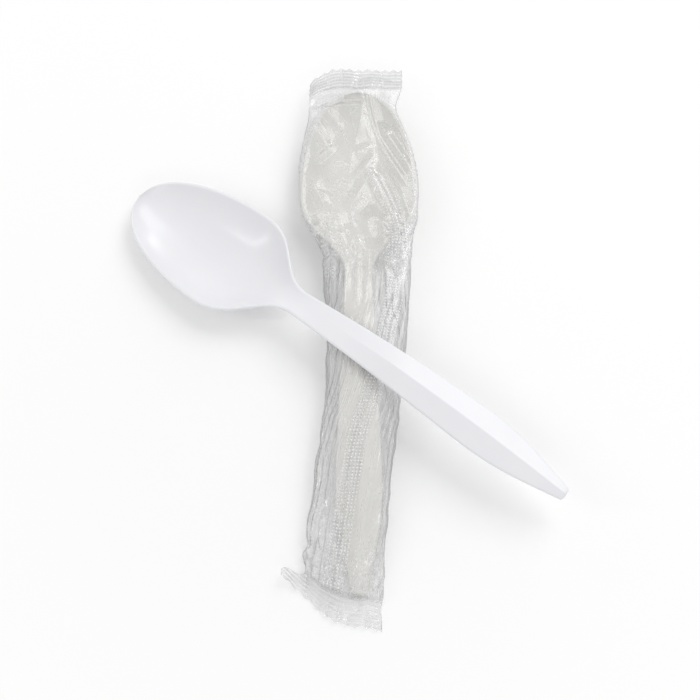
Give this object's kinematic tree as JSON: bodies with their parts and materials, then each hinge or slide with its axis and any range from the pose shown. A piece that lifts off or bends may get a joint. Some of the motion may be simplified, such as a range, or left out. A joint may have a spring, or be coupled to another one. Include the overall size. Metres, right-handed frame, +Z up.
{
  "type": "plastic cutlery pack",
  "caption": "Individually wrapped white plastic spoon in a crimped clear film sleeve, with a matching unwrapped spoon lying across it.",
  "frame": {"origin": "bottom centre of the whole pack's bounding box, on the surface it lies on", "axes": "+Y along the film sleeve towards the end that holds the wrapped bowl, +Z up from the surface, +X to the right seen from above"},
  "size_m": [0.1196, 0.169, 0.0156],
  "materials": {
    "clear_film": "thin clear packaging film, glossy and crinkled",
    "wrapped_spoon_plastic": "satin moulded white plastic",
    "loose_spoon_plastic": "glossy moulded white plastic"
  },
  "bodies": {
    "root": {"film_sleeve": "clear_film", "wrapped_spoon": "wrapped_spoon_plastic", "loose_spoon": "loose_spoon_plastic"}
  },
  "joints": []
}
